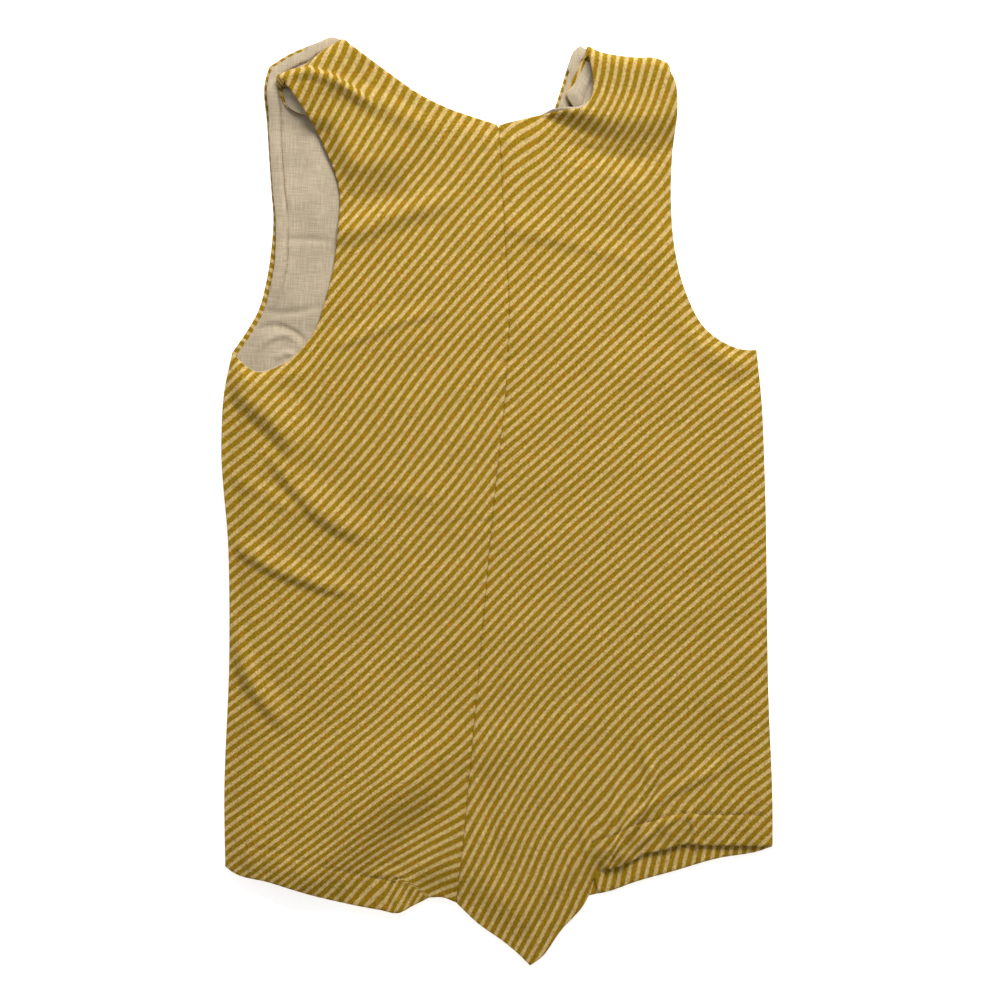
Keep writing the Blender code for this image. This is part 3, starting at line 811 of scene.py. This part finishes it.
def net(outline, step, areas=(), depths=RIM_DEPTHS):
    """Points and triangles that fill an outline, closer together at its rim."""
    rings = [inset(outline, amount) for amount in depths]
    pinned = np.vstack([outline, *rings])
    grid = grid_in(outline, step)
    if areas:
        detail = grid_in(outline, FINE_STEP)
        grid = np.vstack([grid[~is_fine(grid, areas)], detail[is_fine(detail, areas)]])
    _, gap = nearest(grid, pinned)
    points = np.vstack([pinned, grid[gap > RING_GAP]])
    corners = [Vector(p) for p in points.tolist()]
    count = len(outline)
    links = [(i, (i + 1) % count) for i in range(count)]
    result = geometry.delaunay_2d_cdt(corners, links, [list(range(count))], 1, 1e-4)
    points = np.array([tuple(v) for v in result[0]], float)
    triangles = np.array([tuple(t) for t in result[2]])
    return points, triangles


def normals_of(placed, triangles):
    corner = placed[triangles]
    facing = np.cross(corner[:, 1] - corner[:, 0], corner[:, 2] - corner[:, 0])
    total = np.zeros_like(placed)
    for k in range(3):
        np.add.at(total, triangles[:, k], facing)
    return total / np.maximum(np.linalg.norm(total, axis=1), 1e-12)[:, None]


def curl(points, lines):
    """How far a turned edge bends in, given the lines that it follows."""
    gap = np.min([distance_to(points, line) for line in lines], axis=0)
    over = 1 - np.clip(gap / CURL_WIDTH, 0.0, 1.0)
    return -CURL * (1 - np.sqrt(1 - over**2))


def rim_lines(start, end):
    """The edges between the two faces of a sheet, in order."""
    sides = dict.fromkeys(zip(start.tolist(), end.tolist()))
    return [(a, b) for a, b in sides if (b, a) not in sides]


def shell(name, outline, place, stripes, step=NET_STEP, areas=(), lift=None, wall=CLOTH, depths=RIM_DEPTHS):
    """A piece of cloth with a wall: its net, placed, with rounded rims. lift
    moves it along its normals."""
    points, triangles = net(outline, step, areas, depths)
    placed = place(points)
    if lift is not None:
        placed += normals_of(placed, triangles) * lift(points)[:, None]
    normal = normals_of(placed, triangles)
    gap = np.clip(distance_to(points, closed(outline)) / RIM, 0.0, 1.0)
    half = wall / 2 * np.maximum(np.sqrt(1 - (1 - gap) ** 2), 0.1)
    upper, lower = placed + normal * half[:, None], placed - normal * half[:, None]
    count = len(points)
    start = triangles.ravel()
    end = np.roll(triangles, -1, axis=1).ravel()
    rim = [(a, a + count, b + count, b) for a, b in rim_lines(start, end)]
    faces = triangles.tolist() + (triangles[:, ::-1] + count).tolist() + rim
    mesh = bpy.data.meshes.new(name)
    mesh.from_pydata(((np.vstack([upper, lower]) + SHIFT) * MM).tolist(), [], faces)
    mesh.shade_smooth()
    write_attributes(mesh, np.vstack([points, points]), np.tile(stripes(points), 2))
    write_bake_map(mesh, points, triangles, np.array([(a, b) for a, _, _, b in rim]))
    return add_object(name, mesh)


def write_attributes(mesh, points, stripes):
    """The stripe count and the place in the cloth, for the material."""
    stripe = mesh.attributes.new("stripe", "FLOAT", "POINT")
    stripe.data.foreach_set("value", stripes.astype(np.float32))
    cloth = mesh.attributes.new("cloth", "FLOAT_VECTOR", "POINT")
    flat = np.column_stack([points, np.zeros(len(points))]).astype(np.float32)
    cloth.data.foreach_set("vector", flat.ravel())


def write_bake_map(mesh, points, triangles, rim):
    """A map for baking: the two faces side by side, the rim round the first."""
    low = points.min(0) - BAKE_RIM
    width, height = points.max(0) + BAKE_RIM - low
    upper = points - low
    lower = (2 * width, 0) + upper * (-1, 1)
    a, b = upper[rim[:, 0]], upper[rim[:, 1]]
    out = (b - a)[:, ::-1] * (1, -1)
    out *= BAKE_RIM / np.linalg.norm(out, axis=1)[:, None]
    around = np.stack([a, a + out, b + out, b], axis=1)
    corners = [upper[triangles], lower[triangles[:, ::-1]], around]
    places = np.vstack([part.reshape(-1, 2) for part in corners]) / max(2 * width, height)
    mesh.uv_layers.new(name="OFBake").data.foreach_set("uv", places.astype(np.float32).ravel())


def add_object(name, data):
    made = bpy.data.objects.new(name, data)
    bpy.context.scene.collection.objects.link(made)
    return made


def finish_piece(piece, material):
    """What a piece is made of, and which of the CAD's nodes it stands for."""
    piece.data.materials.append(MATERIALS[material])
    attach(piece, "root")
    if piece.name.endswith("_cloth"):
        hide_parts(piece.name.removesuffix("_cloth"))


def make_sheet(name, outline, place, stripes, slot, held, rests_on, cut=None, **form):
    """A piece of cloth. Its cut on the flat, a width and a length, is not used, and its area is worked out
    but not kept.
    """
    sheet = shell(name, outline, place, stripes, **form)
    finish_piece(sheet, slot)
    float(abs(area_of(outline))) * MM**2


def hem_loop(edge_name):
    """The outline of a leg's turned-up allowance, along its hem."""
    line = edge(edge_name)
    run = runs_of(line)
    line = line[(run > HEM_END) & (run < run[-1] - HEM_END)]
    far = line + normals_2d(line) * HEM_DEPTH
    return np.vstack([line, far[::-1]])


# ---- pieces
FRONT_AHEAD = [
    "side_left", "front_hem_left", "crotch_left", "crotch_point_left", "crotch_point_right",
    "front_hem_right", "side_right",
]
FRONT_BACKWARDS = [
    "front_armhole_right", "front_shoulder_right", "front_neck", "front_shoulder_left",
    "front_armhole_left",
]


def front_outline():
    lines = [edge(name) for name in FRONT_AHEAD]
    return join(*lines, *(edge(name)[::-1] for name in FRONT_BACKWARDS))


def back_outline(side):
    """The flat pattern of one half of the back, with its strap unturned."""
    turned = TURNS[side].unfold(TURNS[side].end)
    seam = edge("centre_back")
    clear = seam + normals_2d(seam) * (SEAM_OVERLAP if side == "left" else -SEAM_OVERLAP)
    if side == "left":
        return join(
            clear[::-1], edge("neck_left")[1:], turned, edge("armhole_left"),
            edge("side_left"), edge("hem_left"), edge("crotch_left")[:-1],
        )
    return join(
        clear, edge("crotch_point_left")[1:], edge("crotch_point_right"), edge("crotch_right"),
        edge("hem_right"), edge("side_right"), edge("armhole_right"), turned[::-1], edge("neck_right")[:-1],
    )


# How much of the front's cloth shows beyond its lining, by height, then on its
# shoulder, and how far the lining stays from the side seams below the armhole.
LINING_SHOWS = [
    (-300, 2.6), (120, 2.6), (136, 1.4), (148, 0.9), (156, 0.6), (186, 0.6), (196, 1.5), (240, 1.6),
]
SHOULDER_SHOWS = 0.15
SHOULDER_Y = 216.0
SHOULDER_X = -96.0
UNDERARM_Y = 72.0
UNDERARM_BLEND = 14.0

# The front's seam allowance lifts its lining this far in, with a groove behind
# it that fades out below the middle of the armhole.
LINING_BAND = 5.8
LINING_BAND_RISE = 1.0
LINING_RISE = 0.35
LINING_GROOVE = 1.1
LINING_GROOVE_WIDTH = 0.9
LINING_GROOVE_RINGS = (-0.9, -0.45, 0.0, 0.45, 0.9)
LINING_FADE_Y = 92.0
LINING_FADE = 20.0


def lining_outline():
    outline = front_outline()
    x, y = outline.T
    to_side = np.minimum(distance_to(outline, edge("side_left")), distance_to(outline, edge("side_right")))
    shows = np.interp(y, *zip(*LINING_SHOWS))
    shows = np.where((y > SHOULDER_Y) & (x > SHOULDER_X), SHOULDER_SHOWS, shows)
    seam = shows + (LINING_SEAM_INSET - shows) * smooth((UNDERARM_Y - y) / UNDERARM_BLEND)
    return above(inset(outline, np.where(to_side < 2.0, seam, shows)), LINING_EDGE)


def lining_relief(outline):
    """The band over the seam allowance, with the groove behind it, and folds."""

    def relief(points):
        gap = distance_to(points, closed(outline))
        past = gap - LINING_BAND
        band = LINING_RISE + LINING_BAND_RISE * (1 - smooth((past + LINING_GROOVE_WIDTH) / 1.6))
        groove = -LINING_GROOVE * (1 - smooth(np.abs(past) / LINING_GROOVE_WIDTH))
        roll = 0.5 * smooth(gap / 2.5) - 0.45
        lift, _ = folds_at(points, LINING_FOLDS)
        fade = smooth((points[:, 1] - LINING_FADE_Y) / LINING_FADE)
        return (band + groove) * fade + roll + lift + 0.7 * waves(points, LINING_SEED)

    return relief


def front_stripes(points):
    """The front's stripes, which at its legs run as those of its hems do."""
    at_legs = points[:, 1] < EDGES["crotch_right"][-1][1] + HEM_DEPTH
    return np.where(at_legs, straight_stripes(FRONT_HEM_RUN)(points), straight_stripes(FRONT_RUN)(points))


def make_front():
    make_sheet(
        "front_cloth", front_outline(), place_flat(FRONT_Z), front_stripes, "striped_cloth",
        "laid", ["back_left_cloth", "back_right_cloth"], step=PLAIN_STEP,
    )
    outline = lining_outline()
    make_sheet(
        "front_lining_cloth", outline, place_flat(INNER_Z, lining_relief(outline)),
        straight_stripes(FRONT_RUN), "lining_cloth", "laid", ["front_cloth"],
        step=PLAIN_STEP, areas=LINING_FINE, wall=LINING,
        depths=(*RIM_DEPTHS, *(LINING_BAND + ring for ring in LINING_GROOVE_RINGS)),
    )
    for name in ("front_hem_left", "front_hem_right"):
        make_sheet(
            name + "_cloth", hem_loop(name), place_flat(INNER_Z), straight_stripes(FRONT_HEM_RUN),
            "striped_cloth", "folded", ["front_cloth"], lift=lambda points: curl(points, [edge(name)]),
        )


# How much of a strap's cloth shows beyond its end's lining, by the share of
# the end's length from the neck.
STRAP_LINING_SHOWS = {
    "left": [(0, 0.6), (0.62, 0.4), (0.84, 0.4), (0.92, 1.8), (1, 2.2)],
    "right": [(0, 2.2), (0.16, 2.0), (0.22, 0.4), (1, 0.4)],
}
PUFF = 1.2  # the lining of a strap's end stands off from it
PUFF_WIDTH = 4.5
PUFF_WAVES = 2.5

# How far the back's lining peeps out past an edge, by the share of its length.
PEEPS = {
    "neck_left": [(0, -0.5), (1, -0.5)],
    "neck_right": [(0, -0.5), (0.3, -0.3), (0.4, 1.2), (0.62, 1.1), (0.72, -0.4), (1, -0.5)],
    "armhole_left": [(0, -0.5), (0.68, -0.4), (0.78, 0.7), (0.9, 0.8), (1, 0.0)],
    "armhole_right": [(0, -0.5), (1, -0.5)],
}
BAND_CUT = 1.5  # the cut of a band, for each millimetre that is built of its width


def make_back(side):
    """One half of the back with what is made from its own points: its hem
    allowance, the lining of its strap end and the lining along its edges."""
    turn = TURNS[side]
    end = turn.unfold(turn.end)
    place, stripes = place_back(side), back_stripes(side)
    hem_line = edge("hem_" + side)
    finished = [edge("neck_" + side), edge("armhole_" + side), hem_line, end]
    back = f"back_{side}_cloth"
    make_sheet(
        back, back_outline(side), place, stripes, "striped_cloth", "laid",
        ["front_cloth", "front_lining_cloth"], areas=BACK_FINE, lift=lambda points: curl(points, finished),
    )
    make_sheet(
        f"back_hem_{side}_cloth", hem_loop("hem_" + side), place, stripes, "striped_cloth",
        "folded", [back], lift=lambda points: -LAYER - curl(points, [hem_line]),
    )
    lining = inset(end, along_table(end, STRAP_LINING_SHOWS[side]))

    def puff(points):
        gap = distance_to(points, closed(lining))
        groove, _ = folds_at(turn.place(points, 0, 0)[:, :2], STRAP_LINING_FOLDS)
        return groove - LAYER - PUFF * smooth(gap / PUFF_WIDTH) + PUFF_WAVES * waves(points, STRAP_SEED)

    make_sheet(
        f"strap_lining_{side}_cloth", lining, place, stripes, "lining_cloth", "folded", [back],
        step=FINE_STEP, lift=puff, wall=LINING,
    )
    make_stitches(side, place)
    for name in ("neck_", "armhole_"):
        make_band(name + side, place, stripes)


def make_stitches(side, place):
    """The topstitching that holds a hem up, one small bead a stitch."""
    line = edge("hem_" + side, 0.5)
    row = line + normals_2d(line) * STITCH_INSET
    row = row[is_inside(row, inset(back_outline(side), 3.0))]
    run = runs_of(row)
    starts = np.arange(1.0, run[-1] - STITCH_LENGTH, STITCH_PITCH)
    first, last = (
        place(np.column_stack([np.interp(at, run, row[:, k]) for k in (0, 1)])) + [0, 0, CLOTH / 2]
        for at in (starts, starts + STITCH_LENGTH)
    )
    build = bmesh.new()
    for a, b in zip(first, last):
        along = Vector(b - a)
        turned = along.to_track_quat("X", "Z").to_matrix()
        size = Vector((along.length / 2, THREAD * 1.3, THREAD))
        middle = Vector((a + b) / 2 + SHIFT)
        for vert in bmesh.ops.create_icosphere(build, subdivisions=2, radius=1.0)["verts"]:
            vert.co = (turned @ (vert.co * size) + middle) * MM
    name = "hem_stitches_" + side
    mesh = bpy.data.meshes.new(name)
    build.to_mesh(mesh)
    build.free()
    mesh.shade_smooth()
    finish_piece(add_object(name, mesh), "thread")


def make_band(edge_name, place, stripes):
    """What shows of the back's lining: a band along one of its open edges."""
    line = edge(edge_name)
    inward = normals_2d(line)
    far = line + inward * BAND_WIDTH
    clear = inset(back_outline(edge_name.split("_")[1]), 1.5)
    far = far[(distance_to(far, line) > 0.95 * BAND_WIDTH) & is_inside(far, clear)]
    peep = along_table(line, PEEPS[edge_name])[:, None]
    make_sheet(
        "back_lining_" + edge_name, np.vstack([line - inward * peep, far[::-1]]), place, stripes,
        "lining_cloth", "laid", ["front_lining_cloth"], cut=(BAND_CUT * BAND_WIDTH, length_of(line)),
        wall=LINING, lift=lambda points: -BAND_LAYER - curl(points, [line]),
    )


# ---- materials
SHEEN = {"Sheen Roughness": 0.45, "Sheen Tint": (1.0, 0.82, 0.45, 1.0)}


def as_colour(value):
    return value if isinstance(value, bpy.types.NodeSocket) else (*value, 1.0)


class Shading:
    """A material, with short names for the nodes that it is made of."""

    def __init__(self, name, inputs):
        self.material = bpy.data.materials.new(name)
        self.material.use_nodes = True
        self.tree = self.material.node_tree
        self.shader = self.tree.nodes["Principled BSDF"]
        for socket, value in inputs.items():
            self.shader.inputs[socket].default_value = value

    def node(self, kind, inputs, output=0, **settings):
        """An output of a node, with its settings made and its inputs set or linked."""
        made = self.tree.nodes.new(kind)
        for name, value in settings.items():
            setattr(made, name, value)
        for socket, value in inputs.items():
            if isinstance(value, bpy.types.NodeSocket):
                self.tree.links.new(value, made.inputs[socket])
            else:
                made.inputs[socket].default_value = value
        return made.outputs[output]

    def attribute(self, name, output):
        return self.node("ShaderNodeAttribute", {}, output, attribute_name=name)

    def maths(self, operation, a, b=0.0):
        return self.node("ShaderNodeMath", {0: a, 1: b}, operation=operation)

    def stretched(self, vector, scale, turn=0.0):
        """The vector turned by an angle and scaled, to count threads or waves."""
        turned = self.node("ShaderNodeVectorRotate", {"Vector": vector, "Angle": math.radians(turn)})
        return self.node("ShaderNodeVectorMath", {0: turned, 1: scale}, operation="MULTIPLY")

    def noise(self, vector, scale, detail=2.0):
        inputs = {"Vector": vector, "Scale": scale, "Detail": detail}
        return self.node("ShaderNodeTexNoise", inputs, "Fac")

    def weave(self, vector, close, wide, turn):
        """Noise stretched along the weft, added to noise stretched along the warp."""
        stretches = [self.stretched(vector, (*pair, 1.0), turn) for pair in ((close, wide), (wide, close))]
        return self.maths("ADD", *(self.noise(stretch, 1.0) for stretch in stretches))

    def ramp(self, value, low, high, start=0.0, end=1.0):
        inputs = {"Value": value, "From Min": low, "From Max": high, "To Min": start, "To Max": end}
        return self.node("ShaderNodeMapRange", inputs, "Result", interpolation_type="SMOOTHSTEP")

    def mix(self, factor, a, b, blend="MIX"):
        inputs = {"Factor": factor, 6: as_colour(a), 7: as_colour(b)}
        return self.node("ShaderNodeMix", inputs, 2, data_type="RGBA", blend_type=blend)

    def scaled(self, colour, amount):
        """The colour, made darker or lighter."""
        grey = self.node("ShaderNodeCombineColor", {0: amount, 1: amount, 2: amount})
        return self.mix(1.0, colour, grey, "MULTIPLY")

    def bump(self, *layers):
        """A normal that follows heights, each given with its depth in metres."""
        inputs = {"Strength": 1.0}
        for height, depth in layers:
            inputs.update({"Height": height, "Distance": depth})
            inputs["Normal"] = self.node("ShaderNodeBump", inputs)
        return inputs["Normal"]

    def finish(self, colour, roughness, normal):
        for socket, value in (("Base Color", colour), ("Roughness", roughness), ("Normal", normal)):
            self.tree.links.new(value, self.shader.inputs[socket])
        return self.material


def striped_cloth():
    """Cotton with yarn-dyed stripes, soft at their edges, on a fine weave."""
    inputs = {"Roughness": 0.86, "Sheen Weight": 0.05, "Specular IOR Level": 0.12}
    s = Shading("striped_cloth", inputs | SHEEN)
    place = s.attribute("cloth", "Vector")
    count = s.attribute("stripe", "Fac")
    ragged = s.maths("MULTIPLY", s.noise(s.stretched(place, (2.6, 1.1, 1.0), 42.0), 1.0), 0.34)
    drift = s.maths("MULTIPLY", s.noise(place, 0.09, 1.0), 0.10)
    phase = s.maths("FRACT", s.maths("ADD", count, s.maths("ADD", ragged, drift)))
    from_middle = s.maths("ABSOLUTE", s.maths("SUBTRACT", s.maths("MULTIPLY", phase, 2.0), 1.0))
    is_mustard = s.ramp(from_middle, 0.25, 0.61)

    patches = s.noise(place, 0.20, 3.0)
    orange = s.ramp(patches, 0.50, 0.72, 0.0, 0.75)
    olive = s.ramp(patches, 0.46, 0.32, 0.0, 0.6)
    margin = s.ramp(from_middle, 0.80, 0.48, 0.0, 0.7)
    mustard = s.mix(orange, MUSTARD, MUSTARD_ORANGE)
    mustard = s.mix(s.maths("MAXIMUM", olive, margin), mustard, MUSTARD_OLIVE)
    cream = s.mix(s.ramp(s.noise(place, 0.35), 0.4, 0.65), CREAM, CREAM_DEEP)
    colour = s.mix(is_mustard, cream, mustard)

    weave = s.maths("MULTIPLY", s.weave(place, 2.2, 0.6, 45.0), 0.5)
    colour = s.scaled(colour, s.ramp(weave, 0.38, 0.62, 0.70, 1.30))
    normal = s.bump((s.noise(place, 0.45, 3.0), 0.00016), (weave, 0.00022))
    return s.finish(colour, s.ramp(weave, 0.35, 0.65, 0.92, 0.80), normal)


def lining_cloth():
    """Unbleached muslin, whose threads show as an uneven grid."""
    inputs = {"Roughness": 0.9, "Sheen Weight": 0.06, "Specular IOR Level": 0.15}
    s = Shading("lining_cloth", inputs | SHEEN)
    place = s.attribute("cloth", "Vector")
    coarse = s.maths("MULTIPLY", s.weave(place, 2.3, 0.10, 2.0), 0.4)
    fine = s.maths("MULTIPLY", s.noise(s.stretched(place, (3.6, 3.6, 1.0)), 1.0, 1.0), 0.2)
    grid = s.maths("ADD", coarse, fine)
    colour = s.mix(s.ramp(grid, 0.40, 0.60), MUSLIN_DEEP, MUSLIN)
    colour = s.scaled(colour, s.ramp(s.noise(place, 0.06), 0.35, 0.65, 0.95, 1.05))
    normal = s.bump((s.noise(place, 0.4, 3.0), 0.0002), (grid, 0.0003))
    return s.finish(colour, s.ramp(grid, 0.4, 0.6, 0.95, 0.86), normal)


def grained(name, inputs, grain, detail, colour, shares, roughness, depth):
    """A small part's surface, between two shares of a colour by a fine grain."""
    s = Shading(name, inputs)
    place = s.node("ShaderNodeTexCoord", {}, "Object")
    speckle = s.noise(place, grain, detail)
    dark, light = (tuple(share * part for part in colour) for share in shares)
    mixed = s.mix(s.ramp(speckle, 0.35, 0.65), dark, light)
    return s.finish(mixed, s.ramp(speckle, 0.3, 0.7, *roughness), s.bump((speckle, depth)))


def stud_metal():
    """Pressed steel, with a fine turned finish."""
    inputs = {"Roughness": 0.35, "Metallic": 0.95}
    return grained("stud_metal", inputs, 2600.0, 3.0, STEEL, (0.82, 1.0), (0.28, 0.45), 0.00002)


def thread():
    """Mustard sewing thread, with its twist."""
    return grained("thread", {"Roughness": 0.7}, 3500.0, 1.0, MUSTARD, (0.35, 0.6), (0.6, 0.8), 0.00005)


# ---- the scene
FLOOR_REACH = 8.0  # metres
FLOOR_Z = -0.0004
SKY_STRENGTH = 0.35
CAMERA_HEIGHT = 2.8
SENSOR = 36.0
VIEW_WIDTH = 0.5  # how much of the floor the picture spans
VIEW_CENTRE = (1.5, 0.5)  # in the pattern's millimetres
Lamp = namedtuple("Lamp", "name place aim size power")
LAMPS = [
    Lamp("window", (0.22, 0.97, 0.80), (0.0, 0.05, 0.0), 0.6, 20.4),
    Lamp("fill", (-0.6, -0.9, 1.6), (0.0, 0.0, 0.0), 1.6, 2.4),
]


def make_floor():
    mesh = bpy.data.meshes.new("floor")
    signs = ((-1, -1), (1, -1), (1, 1), (-1, 1))
    mesh.from_pydata([(x * FLOOR_REACH, y * FLOOR_REACH, FLOOR_Z) for x, y in signs], [], [(0, 1, 2, 3)])
    colour = as_colour(FLOOR_COLOUR)
    inputs = {"Base Color": colour, "Roughness": 0.9, "Specular IOR Level": 0.1}
    inputs |= {"Emission Color": colour, "Emission Strength": FLOOR_GLOW}
    mesh.materials.append(Shading("floor_paint", inputs).material)
    add_object("floor", mesh)


def make_lamp(lamp):
    light = bpy.data.lights.new(lamp.name, "AREA")
    light.shape = "SQUARE"
    light.size = lamp.size
    light.energy = lamp.power
    made = add_object(lamp.name, light)
    made.location = lamp.place
    made.rotation_euler = (Vector(lamp.aim) - Vector(lamp.place)).to_track_quat("-Z", "Y").to_euler()


def make_sky():
    world = bpy.data.worlds.new("studio")
    world.use_nodes = True
    background = world.node_tree.nodes["Background"].inputs
    background["Color"].default_value = (1.0, 1.0, 1.0, 1.0)
    background["Strength"].default_value = SKY_STRENGTH
    bpy.context.scene.world = world
    bpy.context.scene.view_settings.view_transform = "Standard"


def make_camera():
    data = bpy.data.cameras.new("camera")
    data.sensor_width = SENSOR
    data.lens = SENSOR * (CAMERA_HEIGHT - BACK_Z * MM) / VIEW_WIDTH
    camera = add_object("camera", data)
    camera.location = (*((SHIFT[:2] + VIEW_CENTRE) * MM), CAMERA_HEIGHT)
    bpy.context.scene.camera = camera


def shift_to_frame():
    """From the pattern's origin to the frame's, both in millimetres."""
    low = np.array(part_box("front")[0])[:2] / MM
    return np.append(low - front_outline().min(0), 0.0)


SHIFT = shift_to_frame()
MATERIALS = {
    "striped_cloth": striped_cloth(),
    "lining_cloth": lining_cloth(),
    "stud_metal": stud_metal(),
    "thread": thread(),
}
make_front()
for strap in STRAPS:
    make_back(strap.side)
    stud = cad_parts["stud_" + strap.side]
    stud.data.materials.clear()
    stud.data.materials.append(MATERIALS["stud_metal"])
make_floor()
for lamp in LAMPS:
    make_lamp(lamp)
make_sky()
make_camera()
